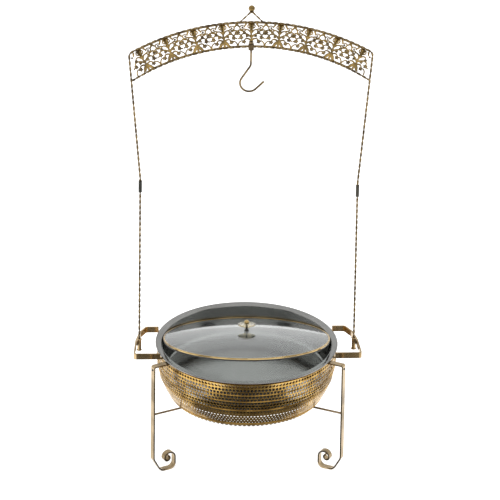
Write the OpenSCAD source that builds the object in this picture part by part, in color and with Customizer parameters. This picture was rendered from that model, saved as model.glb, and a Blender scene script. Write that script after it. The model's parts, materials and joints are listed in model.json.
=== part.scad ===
// Hanging buffet food warmer: a round insert pan over a water pan in a three-legged wire stand,
// with a lace basket round the pans, a tilted glass lid, two strip handles and a tall hanger whose
// filigree arch carries a swivel hook.
// Millimetres. +Z is up, -Y is the front, and the origin is on the floor below the pans' axis.

/* [Pans] */
// Height of the food pan's flange above the floor
rim_z = 240; // [225:1:260]
// Outer radius of the food pan's flange
flange_r = 181; // [178:0.5:184]
// Radius of the food pan's mouth
mouth_r = 167.5; // [166.5:0.5:168.5]
// Depth of the food pan
food_depth = 64; // [50:1:70]
// Depth of the water pan below the flange
water_depth = 84; // [78:1:95]
// Thickness of the pan sheet
sheet_t = 1.2; // [0.8:0.1:1.4]
// Radius of the rolled edge of the food pan's flange
bead_r = 1.8; // [1.6:0.1:1.8]

/* [Lid] */
// Outer radius of the lid's rim band
lid_r = 165.5; // [160:0.5:166]
// Rise of the glass dome
dome_h = 15; // [10:1:25]
// Thickness of the glass
glass_t = 4; // [3:0.5:5]
// Angle at which the lid lies in the pan's mouth, front edge up
lid_tilt = 12.2; // [5:0.1:13]
// Height of the lid's centre above the flange
lid_lift = 3; // [3:0.5:8]
// Radius of the glass knob
knob_r = 18; // [14:0.5:22]

/* [Stand] */
// Width of the leg strip
leg_w = 12; // [8:0.5:14]
// Thickness of every strip
strip_t = 3; // [2:0.5:3]
// Height of the pan ring and of the handle strips
strip_h = 12; // [10:0.5:14]
// Outer radius of the two front legs
front_leg_r = 212; // [205:1:220]
// Outer radius of the back leg
back_leg_r = 181; // [181:0.5:190]
// Height of the braces and the burner ring above the floor
brace_z = 128; // [110:1:132]
// Diameter of the brace wire
brace_d = 4; // [3:0.5:5]
// Radius of the rivets on the legs' top corners
rivet_r = 2.4; // [2:0.1:3]

/* [Basket] */
// Outer radius of the basket at its top
basket_r = 177.6; // [177:0.1:177.6]
// Outer radius of the basket at its open foot
basket_foot_r = 152; // [140:1:160]
// Drop from the flange to the basket's foot
basket_drop = 106; // [100:1:110]
// Thickness of the basket shell
basket_t = 1.2; // [1:0.1:1.6]

/* [Handles] */
// Reach of the handle's front corner from the axis
handle_x = 226; // [222:0.5:230]
// Half the spacing of a handle's two arms
handle_y = 59.5; // [50:0.5:65]
// Height of the handle's top edge above the flange
handle_up = 5; // [3:0.5:7]

/* [Hanger] */
// Half the distance between the lower rods
rod_x = 213; // [212:0.1:213]
// Diameter of the rods
rod_d = 4.5; // [4:0.1:4.8]
// Running clearance on a rod's radius in its socket or sleeve
run_gap = 0.05; // [0.03:0.01:0.08]
// Outer diameter of the sockets
socket_d = 8; // [7:0.1:8.4]
// Length of the sockets
socket_h = 26; // [20:1:30]
// Outer diameter of the joint sleeves
sleeve_d = 7; // [6.6:0.1:8]
// Length of the joint sleeves
sleeve_h = 24; // [20:1:30]
// Height of the left sleeve's foot above the flange
sleeve_up = 330; // [300:1:345]
// How much lower the right sleeve sits
sleeve_step = 12; // [0:1:20]
// Half the width of the bow at its corners
bow_x = 236.5; // [230:0.5:240]
// Height of the bow's corners above the flange
bow_up = 625; // [600:1:640]
// Radius of the bow's top arc
bow_r = 458; // [456:1:462]
// Height above the flange of the centre that both arcs share
arc_up = 233; // [229:1:237]
// Radius of the lower arc
low_r = 406; // [404:1:410]
// Number of filigree motifs
motifs = 9; // [7:1:9]
// Thickness of the filigree sheet
lace_t = 1.6; // [1:0.1:2]
// Radius of the finial ball
finial_r = 6.4; // [5:0.1:8]

/* [Hook] */
// Diameter of the hook wire
hook_d = 4; // [3:0.1:4.4]
// Radius of the hook's bowl to the wire's centre
hook_r = 18; // [16:0.5:20]
// Height of the bowl's centre above the flange
hook_up = 562.5; // [555:0.5:570]

/* [Burner] */
// Inner radius of the burner ring
burner_r = 36; // [32:0.5:40]
// Depth of the fuel cup
cup_depth = 40; // [30:1:45]

/* [Hidden] */
$fn = 64;

gold = [0.80, 0.62, 0.30];
rose_gold = [0.78, 0.62, 0.50];
dark_gold = [0.36, 0.29, 0.14];
steel = [0.56, 0.57, 0.56];
clear = [0.80, 0.86, 0.86, 0.35];

// heights of the stacked flanges and of the ring that carries them
plate_top = rim_z - bead_r + sheet_t;      // top face of the food pan's flange sheet
water_top = plate_top - sheet_t;           // top face of the water pan's flange sheet
ring_top = water_top - sheet_t;            // top face of the ring band
tab_top = rim_z - 2 * bead_r - 0.4;        // the tabs pass this far under the rolled edge
tab_foot = tab_top - strip_t;
wall_gap = 1;                              // between the two pans' walls
wall_lean = 5.5;                           // lean of both pans' walls, in degrees
ring_t = 1.2;                              // thickness of the ring that carries the pans
ring_in = mouth_r + 2 * sheet_t + wall_gap + 3.1;
ring_out = ring_in + ring_t;
hoop_h = 8;

// legs, as an outline in (distance in from the leg's centre line, height)
foot_reach = 36;                           // to the centre of the scroll's outer turn
scroll_r = 11.5;
scroll_mid = 26;                           // height of the scroll's upper centre
curl_r = 5.75;
front_leg_mid = front_leg_r - strip_t / 2;
back_leg_mid = back_leg_r - strip_t / 2;
leg_angles = [207, 333, 90];               // left front, right front, back

// rods, sockets and sleeves
socket_foot = rim_z - 17;
rod_foot = socket_foot + 2;
stub_h = sleeve_h / 2;
bend_up = 5;                               // height of the upper rods' bend above the sleeve
bow_fillet = 12;
bend_r = 30;                               // radius of the small bend above a sleeve
arc_z = rim_z + arc_up;
bend_z = [rim_z + sleeve_up + sleeve_h + bend_up,
          rim_z + sleeve_up - sleeve_step + sleeve_h + bend_up]; // left, right
lace_in = low_r + rod_d / 2;
lace_out = bow_r - rod_d / 2;
rail_w = 2;
lace_mid = (lace_in + lace_out) / 2;

// hook
boss_d = 11;
boss_h = 12;
boss_z = arc_z + low_r - boss_h / 2;
nut_h = 5;
hook_lead = 147;                           // angle at which the shank's slope meets the bowl
hook_tip = 22;

// burner
ring_h = 8;
cup_top = brace_z + ring_h / 2 + sheet_t;
cup_r = burner_r - 2;
cup_edge = burner_r + strip_t;             // outer radius of the cup's flange
pivot_x = cup_edge + 4;                    // the damper's rivet, clear of the burner ring
pivot_r = 1.5;
ear_r = 6;
damper_r = 32;
damper_t = 1.5;
damper_up = 0.5;                           // running gap below the damper

// ---- outlines ---------------------------------------------------------------------------------

// Points on an arc about c from angle a0 to a1
function arc(c, r, a0, a1, n = 8) =
    [for (i = [0:n]) let (a = a0 + (a1 - a0) * i / n) c + r * [cos(a), sin(a)]];

function unit(v) = v / norm(v);

// The fillet of radius r at corner b of the line a-b-c
function fillet(a, b, c, r, n) =
    let (u = unit(a - b), v = unit(c - b),
         half = acos(max(-1, min(1, u * v))) / 2,
         mid = b + unit(u + v) * r / sin(half),
         p = b + u * r / tan(half) - mid,
         q = b + v * r / tan(half) - mid,
         a0 = atan2(p[1], p[0]),
         turn = atan2(q[1], q[0]) - a0,
         sweep = turn > 180 ? turn - 360 : turn < -180 ? turn + 360 : turn)
    arc(mid, r, a0, a0 + sweep, n);

// An open line whose inner corners have the radii rs
function rounded(pts, rs, n = 6) =
    [for (i = [0:len(pts) - 1])
        each i == 0 || i == len(pts) - 1 || rs[i] == 0
            ? [pts[i]] : fillet(pts[i - 1], pts[i], pts[i + 1], rs[i], n)];

function left_of(a, b) = let (d = unit(b - a)) [-d[1], d[0]];

// The line moved to its left by off, with mitred corners
function beside(pts, off) =
    [for (i = [0:len(pts) - 1])
        let (k = left_of(pts[max(i - 1, 0)], pts[max(i, 1)]),
             m = left_of(pts[min(i, len(pts) - 2)], pts[min(i + 1, len(pts) - 1)]),
             w = unit(k + m))
        pts[i] + w * off / (w * k)];

function backwards(pts) = [for (i = [len(pts) - 1:-1:0]) pts[i]];

// The closed outline of a strip of thickness t along a line
function strip(pts, t) = concat(beside(pts, t / 2), backwards(beside(pts, -t / 2)));

// ---- shared shapes ----------------------------------------------------------------------------

// A flat ring of square section
module band_ring(r_in, r_out, z, h) {
    translate([0, 0, z]) difference() {
        cylinder(r = r_out, h = h);
        translate([0, 0, -1]) cylinder(r = r_in, h = h + 2);
    }
}

// A round wire from a to b
module wire(a, b, d) {
    v = b - a;
    translate(a)
        rotate([0, acos(v[2] / norm(v)), atan2(v[1], v[0])])
            cylinder(d = d, h = norm(v));
}

// A round wire bent in the XZ plane: an arc about [x, z] from angle a0 to a1
module wire_arc(c, r, a0, a1, d) {
    translate([c[0], 0, c[1]]) rotate([90, 0, 0]) rotate([0, 0, a0])
        rotate_extrude(angle = a1 - a0, $fn = r > 100 ? 720 : 96) translate([r, 0]) circle(d = d, $fn = 32);
}

// A round wire swept along a line of points in the XZ plane
module swept(pts, d, sides = 16) {
    last = len(pts) - 1;
    dirs = [for (i = [0:last]) unit(unit(pts[min(i + 1, last)] - pts[min(i, last - 1)])
                                    + unit(pts[max(i, 1)] - pts[max(i - 1, 0)]))];
    rings = [for (i = [0:last]) for (k = [0:sides - 1])
        let (a = 360 * k / sides, across = d / 2 * cos(a))
        [pts[i][0] - across * dirs[i][1], d / 2 * sin(a), pts[i][1] + across * dirs[i][0]]];
    walls = [for (i = [0:last - 1]) for (k = [0:sides - 1]) let (n = (k + 1) % sides)
        [i * sides + k, i * sides + n, (i + 1) * sides + n, (i + 1) * sides + k]];
    polyhedron(rings, concat([[for (k = [sides - 1:-1:0]) k]], walls,
                             [[for (k = [0:sides - 1]) last * sides + k]]));
}

// A strip standing in the plane at angle a, its outline given as (distance out, height)
module radial_strip(outline, width, a) {
    rotate([0, 0, a]) rotate([90, 0, 0])
        linear_extrude(height = width, center = true) polygon(outline);
}

// ---- stand ------------------------------------------------------------------------------------

module ring_band() {
    color(gold) band_ring(ring_in, ring_out, ring_top - strip_h, strip_h);
}

// Centre line of a leg whose upright stands at radius mid
function leg_line(mid) =
    let (start = [ring_out - 1, tab_top - strip_t / 2],
         shoulder = [mid, tab_top - strip_t / 2],
         floor_z = strip_t / 2)
    concat(
        rounded([start, shoulder, [mid, 30], [mid - 12, 8], [mid - 19, floor_z],
                 [mid - foot_reach, floor_z]], [0, 3, 10, 10, 10, 0], 4),
        arc([mid - foot_reach, floor_z + scroll_r], scroll_r, -95, -180, 8),
        arc([mid - foot_reach, scroll_mid], scroll_r, -180, -360, 14),
        arc([mid - foot_reach + scroll_r - curl_r, scroll_mid], curl_r, -12, -180, 9),
        arc([mid - foot_reach + 3, scroll_mid + 1], 3, -190, -300, 4));

module leg(mid, a, riveted = true) {
    color(rose_gold) difference() {
        radial_strip(strip(leg_line(mid), strip_t), leg_w, a);
        translate([0, 0, tab_foot - 1]) cylinder(r = ring_out, h = 2 * strip_t);
        if (riveted)
            rotate([0, 0, a]) translate([mid, 0, tab_foot - 6]) rotate([0, 90, 0])
                cylinder(r = rivet_r / 2, h = 4 * strip_t, center = true);
    }
}

module leg_front_left() { leg(front_leg_mid, leg_angles[0]); }
module leg_front_right() { leg(front_leg_mid, leg_angles[1]); }
module leg_back() { leg(back_leg_mid, leg_angles[2], riveted = false); }

// Domed rivets through the heads of the two front legs
module leg_rivets() {
    color(dark_gold) for (a = [leg_angles[0], leg_angles[1]])
        rotate([0, 0, a]) translate([front_leg_mid, 0, tab_foot - 6]) rotate([0, 90, 0]) {
            cylinder(r = rivet_r / 2, h = strip_t, center = true);
            translate([0, 0, strip_t / 2]) cylinder(r1 = rivet_r, r2 = rivet_r * 0.6, h = 1.2);
            translate([0, 0, -strip_t / 2 - 1]) cylinder(r = rivet_r, h = 1);
        }
}

module brace(mid, a) {
    color(rose_gold) difference() {
        rotate([0, 0, a]) translate([0, 0, brace_z]) rotate([0, 90, 0])
            cylinder(d = brace_d, h = mid - strip_t / 2);
        translate([0, 0, brace_z - ring_h]) cylinder(r = burner_r + strip_t, h = 2 * ring_h);
    }
}

module brace_front_left() { brace(front_leg_mid, leg_angles[0]); }
module brace_front_right() { brace(front_leg_mid, leg_angles[1]); }
module brace_back() { brace(back_leg_mid, leg_angles[2]); }

module burner_ring() {
    color(rose_gold) band_ring(burner_r, burner_r + strip_t, brace_z - ring_h / 2, ring_h);
}

// ---- basket -----------------------------------------------------------------------------------

hoop_foot = tab_foot - hoop_h;
curve_top = rim_z - 25;                    // above this the basket's wall is upright
fall = curve_top - (rim_z - basket_drop);
inset = basket_r - basket_foot_r;
wall_r = (inset * inset + fall * fall) / (2 * inset);

// Outer line of the basket from top to foot: upright, then an arc that is upright at its top
function basket_line(off) =
    concat([[basket_r - off, hoop_foot]],
           arc([basket_r - wall_r, curve_top], wall_r - off, 0, -asin(fall / wall_r), 10));

module basket_top_hoop() {
    color(gold) band_ring(ring_out, basket_r, hoop_foot, hoop_h);
}

module basket_shell() {
    color(gold) rotate_extrude($fn = 128)
        polygon(concat(basket_line(0), backwards(basket_line(basket_t))));
}

// A wire that closes the basket's open foot, against the middle of the sheet's edge
module basket_foot_hoop() {
    hoop_r = 1.6;
    slope = asin(fall / wall_r);
    middle = [basket_foot_r, rim_z - basket_drop] + basket_t / 2 * [-cos(slope), sin(slope)];
    color(gold) rotate_extrude($fn = 128)
        translate(middle - hoop_r * [sin(slope), cos(slope)]) circle(r = hoop_r, $fn = 32);
}

// ---- handles and sockets ----------------------------------------------------------------------

handle_z = rim_z + handle_up - strip_h;
step_x = 173;                              // the full-height strip starts clear of the flange

// Centre line of the right-hand handle seen from above
function handle_line() =
    rounded([[step_x, -handle_y], [handle_x - strip_t / 2, -handle_y], [handle_x - 6.5, 0],
             [handle_x - 15, 36], [handle_x - 28, handle_y], [step_x, handle_y]],
            [0, 4, 60, 20, 6, 0]);

module right_handle_solid() {
    difference() {
        union() {
            translate([0, 0, handle_z])
                linear_extrude(height = strip_h) polygon(strip(handle_line(), strip_t));
            for (y = [-handle_y, handle_y])
                translate([ring_out - 20, y - strip_t / 2, tab_foot])
                    cube([step_x - ring_out + 21, strip_t, strip_t]);
        }
        cylinder(r = ring_out, h = 2 * rim_z);
    }
}

module handle_right() { color(gold) right_handle_solid(); }
module handle_left() { color(gold) mirror([1, 0, 0]) right_handle_solid(); }

module socket(side) {
    color(gold) translate([side * rod_x, 0, socket_foot]) difference() {
        cylinder(d = socket_d, h = socket_h);
        translate([0, 0, rod_foot - socket_foot]) cylinder(r = rod_d / 2 + run_gap, h = socket_h);
    }
}

module socket_left() { socket(-1); }
module socket_right() { socket(1); }

// Short lugs that join each socket to the inside of its handle bar
module socket_lugs() {
    lug_h = 7;
    color(gold) for (side = [0, 1]) mirror([side, 0, 0]) difference() {
        translate([rod_x, -2.5, rim_z + handle_up - strip_h / 2 - lug_h / 2]) cube([8, 5, lug_h]);
        translate([rod_x, 0, 0]) cylinder(d = socket_d, h = 2 * rim_z);
        translate([0, 0, handle_z]) linear_extrude(height = strip_h)
            polygon(concat(beside(handle_line(), strip_t / 2), [[step_x + 80, handle_y], [step_x + 80, -handle_y]]));
    }
}

// ---- pans -------------------------------------------------------------------------------------

// Half outline of a pan: flange, leaning wall and floor, as the centre line of the sheet, whose bends
// at the mouth and at the floor have the radii lip and corner
function pan_line(flange_out, flange_mid, mouth, depth, lip, corner) =
    let (foot = mouth - tan(wall_lean) * (depth - 4))
    rounded([[flange_out, flange_mid], [mouth, flange_mid], [foot, flange_mid - depth], [0, flange_mid - depth]],
            [0, lip, corner, 0]);

module water_pan() {
    mouth = mouth_r + 1.5 * sheet_t + wall_gap;
    color(steel) rotate_extrude($fn = 128)
        polygon(strip(pan_line(ring_out - 0.1, water_top - sheet_t / 2, mouth, water_depth - 3, 1.2, 10), sheet_t));
}

module food_pan() {
    color(steel) {
        rotate_extrude($fn = 128)
            polygon(strip(pan_line(flange_r - bead_r, plate_top - sheet_t / 2, mouth_r + sheet_t / 2,
                                   food_depth - 1, 3, 9), sheet_t));
        rotate_extrude($fn = 128)
            translate([flange_r - bead_r, rim_z - bead_r]) circle(r = bead_r, $fn = 32);
    }
}

// ---- lid --------------------------------------------------------------------------------------

glass_edge = lid_r - 2.5;
dome_r = (glass_edge * glass_edge + dome_h * dome_h) / (2 * dome_h);
dome_a = asin(glass_edge / dome_r);
edge_up = 1.5;                             // underside of the glass edge above the rim's foot
glass_top = edge_up + glass_t + dome_h;
stem_r = 2.5;
knob_foot = glass_top + 6;
knob_h = 8.3;
stem_top = knob_foot + knob_h - 1;         // stops below the cap

// Places a lid piece, modelled level, in the pan's mouth
module on_lid() {
    translate([0, 0, rim_z + lid_lift]) rotate([-lid_tilt, 0, 0]) children();
}

// Half of the dome's line at height z above its edge, from the axis out
function dome_line(z) = [for (i = [0:12]) let (a = dome_a * i / 12)
    [dome_r * sin(a), z + dome_h - dome_r * (1 - cos(a))]];

module lid_glass() {
    color(clear) on_lid() difference() {
        rotate_extrude($fn = 128)
            polygon(concat(dome_line(edge_up), backwards(dome_line(edge_up + glass_t))));
        cylinder(r = stem_r, h = 2 * glass_top, center = true);
    }
}

// Height of the glass's underside at radius r, on the dome's last stretch before its edge
function edge_z(r) =
    let (p = dome_line(edge_up)[11])
    edge_up + (glass_edge - r) * (p[1] - edge_up) / (glass_edge - p[0]);

// U-shaped band round the edge of the glass
module lid_rim() {
    lip = lid_r - 6;
    top = edge_up + glass_t + 2;
    color(gold) on_lid() rotate_extrude($fn = 128)
        polygon([[lip, 0.8], [lip + 1, 0], [lid_r - 1.2, 0], [lid_r, 1.2], [lid_r, top - 1.2], [lid_r - 1.2, top],
                 [lip, top], [lip, edge_z(lip) + glass_t], [glass_edge, edge_up + glass_t],
                 [glass_edge, edge_up], [lip, edge_z(lip)]]);
}

// Stem with a shoulder that the knob sits on, through the glass
module knob_stem() {
    color([0.10, 0.10, 0.10]) on_lid() {
        translate([0, 0, edge_up + dome_h - 5]) cylinder(r = stem_r, h = stem_top - edge_up - dome_h + 5);
        translate([0, 0, glass_top]) cylinder(r1 = 5, r2 = 3.4, h = 3);
    }
}

// Nut that clamps the stem under the glass
module stem_nut() {
    color(steel) on_lid() translate([0, 0, edge_up + dome_h - 4.05]) difference() {
        cylinder(r = 2 * stem_r, h = 4, $fn = 6);
        translate([0, 0, -1]) cylinder(r = stem_r, h = 6);
    }
}

// Shallow saucer-shaped knob with a bore for the stem
module lid_knob() {
    bore = stem_r + run_gap;
    color([0.86, 0.80, 0.62]) on_lid() translate([0, 0, knob_foot]) rotate_extrude()
        polygon(concat([[bore, 0], [6, 0]],
                       arc([knob_r - 2, knob_h - 1.8], 1.6, -60, 90, 5), [[7, knob_h], [bore, knob_h]]));
}

// Round cap on top of the knob
module knob_cap() {
    cap_r = 5;
    color(gold) on_lid() translate([0, 0, knob_foot + knob_h + cap_r / 2]) difference() {
        sphere(r = cap_r, $fn = 48);
        translate([0, 0, -2.5 * cap_r]) cylinder(r = 2 * cap_r, h = 2 * cap_r);
    }
}

// ---- hanger rods ------------------------------------------------------------------------------

function sleeve_z(side) = rim_z + sleeve_up - (side > 0 ? sleeve_step : 0);

module lower_rod(side) {
    color(dark_gold) translate([side * rod_x, 0, rod_foot])
        cylinder(d = rod_d, h = sleeve_z(side) + sleeve_h - stub_h - rod_foot);
}

module lower_rod_left() { lower_rod(-1); }
module lower_rod_right() { lower_rod(1); }

module sleeve(side) {
    color(dark_gold) translate([side * rod_x, 0, sleeve_z(side)]) difference() {
        cylinder(d = sleeve_d, h = sleeve_h);
        translate([0, 0, -1]) cylinder(d = rod_d, h = sleeve_h + 2);
        translate([0, 0, sleeve_h - stub_h]) cylinder(r = rod_d / 2 + run_gap, h = sleeve_h);
    }
}

module sleeve_left() { sleeve(-1); }
module sleeve_right() { sleeve(1); }

// Slope of an upper rod, its direction, and the centre of its corner fillet, in (x, z)
function rod_slope(z0) = atan2(bow_x - rod_x, rim_z + bow_up - z0);
function rod_dir(z0) = [sin(rod_slope(z0)), cos(rod_slope(z0))];
function fillet_mid(z0) =
    let (d = rod_dir(z0),
         a = [rod_x, z0] + bow_fillet * [-d[1], d[0]] - [0, arc_z],
         along = -(a * d) + sqrt(pow(a * d, 2) - a * a + pow(bow_r - bow_fillet, 2)))
    a + [0, arc_z] + d * along;

// Angle at which the corner fillet meets the top arc
function bow_angle(z0) = let (m = fillet_mid(z0)) atan2(m[1] - arc_z, m[0]);

// Centre line of an upper rod on the right: small bend above the stub, slope and corner
function upper_rod_line(z0) =
    let (slope = rod_slope(z0), back = bend_r * tan(slope / 2))
    concat(arc([rod_x + bend_r, z0 - back], bend_r, 180, 180 - slope, 2),
           arc(fillet_mid(z0), bow_fillet, -slope, bow_angle(z0), 8));

// Plain round ends of the upper rods, which stand in the sleeves
module rod_stubs() {
    color(dark_gold) for (i = [0, 1]) mirror([1 - i, 0, 0]) {
        slope = rod_slope(bend_z[i]);
        foot = bend_z[i] - bend_up - stub_h;
        translate([rod_x, 0, foot])
            cylinder(d = rod_d, h = bend_z[i] - bend_r * tan(slope / 2) - foot);
    }
}

module upper_rod_left() { color(dark_gold) mirror([1, 0, 0]) swept(upper_rod_line(bend_z[0]), rod_d); }
module upper_rod_right() { color(dark_gold) swept(upper_rod_line(bend_z[1]), rod_d); }

// Arc over the top of the arch, from corner to corner
module top_arch_wire() {
    color(dark_gold)
        wire_arc([0, arc_z], bow_r, bow_angle(bend_z[1]), 180 - bow_angle(bend_z[0]), rod_d);
}

// How far out the inner side of an upper rod is at height z
function rod_inside(z0, z) = rod_x + (z - z0) * tan(rod_slope(z0)) - rod_d / 2 / cos(rod_slope(z0));

// Everything between the two upper rods, as a slab of thickness t
module between_rods(t) {
    low = arc_z + 200;
    high = arc_z + bow_r;
    translate([0, t / 2, 0]) rotate([90, 0, 0]) linear_extrude(height = t)
        polygon([[-rod_inside(bend_z[0], low), low], [rod_inside(bend_z[1], low), low],
                 [rod_inside(bend_z[1], high), high], [-rod_inside(bend_z[0], high), high]]);
}

low_a = acos(bow_x / low_r);               // an arc from here runs past the rods

// Angle at which an arc of radius r meets the inside of the rod whose bend is at z0
function meets_rod(z0, r) =
    let (s = rod_slope(z0), reach = rod_inside(z0, arc_z) * cos(s))
    acos(reach / r) - s;

boss_a = asin(boss_d / 2 / low_r);         // half the angle that the boss takes up

module lower_arch_wire() {
    color(dark_gold) for (i = [0, 1]) mirror([1 - i, 0, 0])
        wire_arc([0, arc_z], low_r, meets_rod(bend_z[i], low_r), 90 - boss_a, rod_d);
}

// Drilled boss in the middle of the lower wire, which the hook hangs through
module hook_boss() {
    color(dark_gold) translate([0, 0, boss_z]) difference() {
        cylinder(d = boss_d, h = boss_h);
        translate([0, 0, -1]) cylinder(r = hook_d / 2 + run_gap, h = boss_h + 2);
    }
}

// ---- filigree ---------------------------------------------------------------------------------

lace_a = 57.6;                             // angle above the horizontal at which the motifs start
top_a = 60.4;                              // where the top rail ends, clear of the rods' corners
motif_step = (180 - 2 * lace_a) / motifs;
motif_r = (lace_out - lace_in) / 2 - 0.7;

// A slab of the filigree sheet with the given outline about the arc centre
module lace_sheet() {
    translate([0, lace_t / 2, arc_z]) rotate([90, 0, 0]) linear_extrude(height = lace_t) children();
}

// Outline of a stretch of a flat arc
function sector(r0, r1, a0, a1, n = 96) =
    concat(arc([0, 0], r0, a0, a1, n), backwards(arc([0, 0], r1, a0, a1, n)));

// Ring, five-petalled flower and the two short stalks that join them
module motif() {
    petal_r = 4.6;
    ring_w = 2.2;
    difference() {
        circle(r = motif_r);
        circle(r = motif_r - ring_w);
    }
    for (k = [0:4]) rotate(90 + 72 * k) translate([7.5, 0]) circle(r = petal_r, $fn = 32);
    circle(r = 5, $fn = 32);
    translate([-1.2, -motif_r + ring_w / 2]) square([2.4, 2 * motif_r - ring_w]);
}

module filigree_band() {
    color(gold) difference() {
        intersection() {
            lace_sheet() {
                polygon(sector(lace_in, lace_in + rail_w, low_a, 180 - low_a));
                polygon(sector(lace_out - rail_w, lace_out, top_a, 180 - top_a));
                for (i = [0:motifs - 1])
                    rotate(lace_a + motif_step * (i + 0.5)) translate([lace_mid, 0]) rotate(-90) motif();
                for (i = [1:motifs - 1])
                    rotate(lace_a + motif_step * i) translate([lace_mid, 0]) square([2, 10], center = true);
            }
            between_rods(2 * rod_d);
        }
        translate([0, 0, boss_z - 1]) cylinder(d = boss_d + 0.6, h = boss_h + nut_h + 4);
    }
}

peak_x = 22;
peak_z = rim_z + 711;

// Inverted V of wire that stands on the top arc
module peak_wire() {
    foot_z = arc_z + sqrt(bow_r * bow_r - peak_x * peak_x);
    color(dark_gold) difference() {
        union() {
            for (s = [-1, 1]) wire([s * peak_x, 0, foot_z], [0, 0, peak_z], 3.5);
            translate([0, 0, peak_z - 2]) cylinder(d = 3.5, h = 4);
        }
        wire_arc([0, arc_z], bow_r, 80, 100, rod_d);
    }
}

// Ball on a small collar, over the top of the peak
module finial() {
    color(gold) difference() {
        union() {
            translate([0, 0, peak_z + 8.4]) sphere(r = finial_r, $fn = 48);
            translate([0, 0, peak_z]) cylinder(r1 = 4.4, r2 = 3, h = 4);
        }
        peak_wire();
    }
}

// ---- hook -------------------------------------------------------------------------------------

hook_x = -2.7;
bowl = [hook_x, rim_z + hook_up];
lead = bowl + hook_r * [cos(hook_lead), sin(hook_lead)];
lead_dir = [sin(hook_lead), -cos(hook_lead)];
crook = [0, lead[1] - lead[0] * lead_dir[1] / lead_dir[0]];
crook_r = 14;
crook_turn = 90 - atan2(lead_dir[1], lead_dir[0]);
crook_cut = crook_r * tan(crook_turn / 2);
shank_top = boss_z + boss_h + 0.3 + nut_h;
stem_foot = boss_z - 4;

// Centre line of the hook from the foot of its stem to its tip
function hook_line() =
    let (tip = bowl + hook_r * [cos(45), -sin(45)])
    concat([[0, stem_foot]],
           arc([-crook_r, crook[1] + crook_cut], crook_r, 0, -crook_turn, 5),
           arc(bowl, hook_r, hook_lead, 315, 22),
           [tip + hook_tip * [cos(45), sin(45)]]);

module hook() { color(dark_gold) swept(hook_line(), hook_d); }

// Straight round end of the hook, which turns in the boss
module hook_stem() {
    color(dark_gold) translate([0, 0, stem_foot]) cylinder(d = hook_d, h = shank_top - stem_foot);
}

// Nut on the hook's shank, above the boss
module hook_nut() {
    color(dark_gold) translate([0, 0, boss_z + boss_h + 0.3]) difference() {
        cylinder(d = 9, h = nut_h, $fn = 6);
        translate([0, 0, -1]) cylinder(d = hook_d, h = nut_h + 2);
    }
}

// ---- burner -----------------------------------------------------------------------------------

// Fuel cup with a flange that rests on the burner ring and an ear for the damper's rivet
module burner_cup() {
    color(steel) difference() {
        union() {
            rotate_extrude() polygon(strip(rounded([[cup_edge, cup_top - sheet_t / 2],
                [cup_r, cup_top - sheet_t / 2], [cup_r - 3, cup_top - cup_depth], [0, cup_top - cup_depth]],
                [0, 1.5, 5, 0]), sheet_t));
            translate([pivot_x, 0, cup_top - sheet_t]) cylinder(r = ear_r, h = sheet_t);
        }
        translate([pivot_x, 0, 0]) cylinder(r = pivot_r, h = rim_z);
    }
}

// Disc with a central flame hole that lies in the cup's mouth
module burner_screen() {
    color(steel) difference() {
        union() {
            translate([0, 0, cup_top - 6]) cylinder(r = cup_r - 1.6, h = 1.2);
            band_ring(cup_r - 2.8, cup_r - 1.6, cup_top - 6, 5);
        }
        translate([0, 0, cup_top - 10]) cylinder(r = 14, h = 20);
    }
}

module damper_rivet() {
    reach = 1 + sheet_t + damper_up + damper_t + 0.5;
    color(gold) translate([pivot_x, 0, cup_top - sheet_t - 1]) {
        cylinder(r = pivot_r, h = reach);
        cylinder(r = 2 * pivot_r, h = 1);
        translate([0, 0, reach]) cylinder(r1 = 2 * pivot_r, r2 = 2, h = 1);
    }
}

// Flat lid that swings over the flame hole, with a finger tab
module damper_lid() {
    color(steel) difference() {
        translate([0, 0, cup_top + damper_up]) {
            cylinder(r = damper_r, h = damper_t);
            translate([pivot_x, 0, 0]) cylinder(r = 5, h = damper_t);
            translate([0, -5, 0]) cube([pivot_x, 10, damper_t]);
            translate([-damper_r - 14, -5, 0]) cube([16, 10, damper_t]);
        }
        translate([pivot_x, 0, 0]) cylinder(r = pivot_r + run_gap, h = rim_z);
    }
}

ring_band();
leg_front_left();
leg_front_right();
leg_back();
leg_rivets();
brace_front_left();
brace_front_right();
brace_back();
burner_ring();
basket_top_hoop();
basket_shell();
basket_foot_hoop();
handle_left();
handle_right();
socket_left();
socket_right();
socket_lugs();
water_pan();
food_pan();
lid_glass();
lid_rim();
knob_stem();
stem_nut();
lid_knob();
knob_cap();
lower_rod_left();
lower_rod_right();
sleeve_left();
sleeve_right();
rod_stubs();
upper_rod_left();
upper_rod_right();
top_arch_wire();
lower_arch_wire();
filigree_band();
peak_wire();
finial();
hook_boss();
hook();
hook_stem();
hook_nut();
burner_cup();
burner_screen();
damper_rivet();
damper_lid();
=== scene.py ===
"""Looks of a hanging buffet food warmer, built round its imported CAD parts.

The strips, braces, sockets and burner keep their CAD meshes, with materials and fine bevels. The
twisted wires, the lace basket, the filigree, the pans, the glass lid and its knob are modelled here
as finer pieces that stand for their CAD nodes. Lengths are in millimetres until a mesh is written,
and metres from there on.
"""

from __future__ import annotations

import json
import logging
import math
from dataclasses import dataclass, field
from enum import Enum
from typing import Any, Callable, Sequence

import bmesh
import bpy
import numpy as np
from mathutils import Matrix, Vector

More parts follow.
